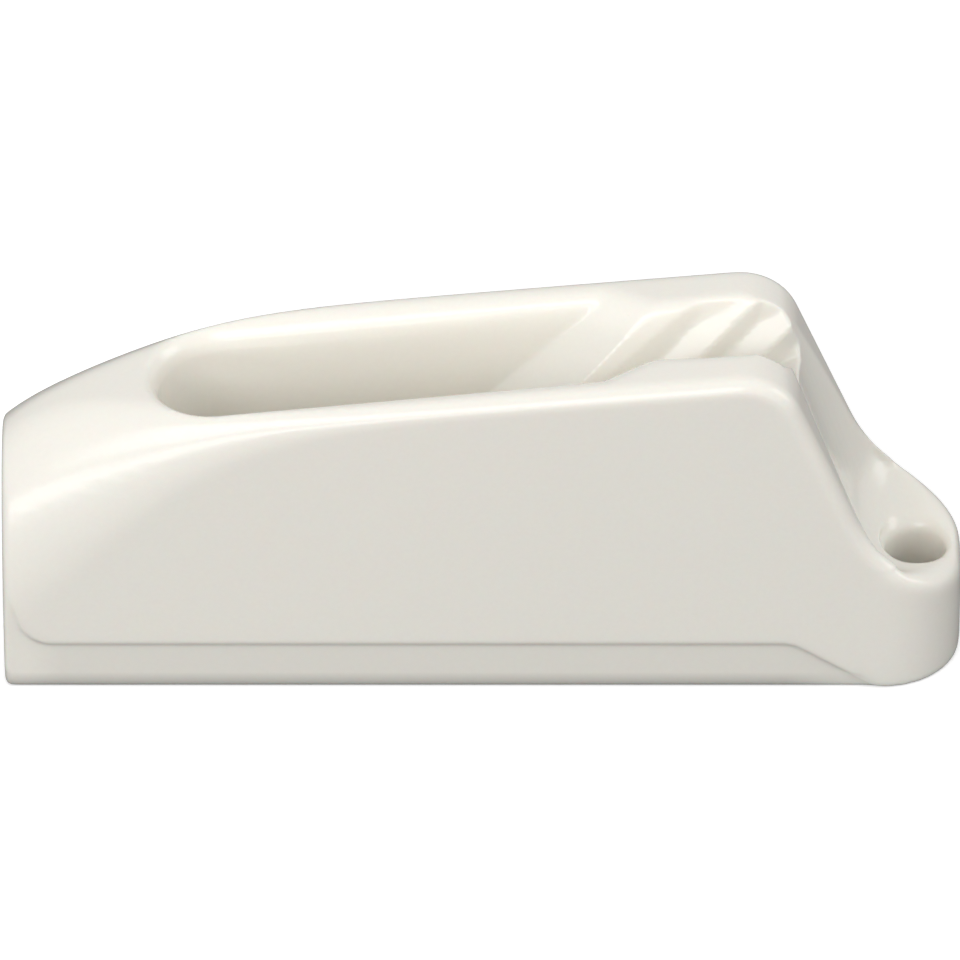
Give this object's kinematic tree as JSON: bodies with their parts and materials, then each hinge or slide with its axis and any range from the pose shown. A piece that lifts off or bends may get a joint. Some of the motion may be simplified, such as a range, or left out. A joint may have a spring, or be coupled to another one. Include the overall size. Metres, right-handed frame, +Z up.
{
  "type": "jam cleat",
  "caption": "One-piece moulded jam cleat with a fairlead bore, an open line slot and slanting ribbed jaws, held down by screws.",
  "frame": {"origin": "centre of the base, on the surface that the cleat is screwed to", "axes": "+Z up from the base, +X from the fairlead end to the nose, +Y across"},
  "size_m": [0.082, 0.017, 0.0326],
  "materials": {
    "moulding": "smooth glossy warm white nylon"
  },
  "bodies": {
    "root": {"cleat_body": "moulding"}
  },
  "joints": []
}
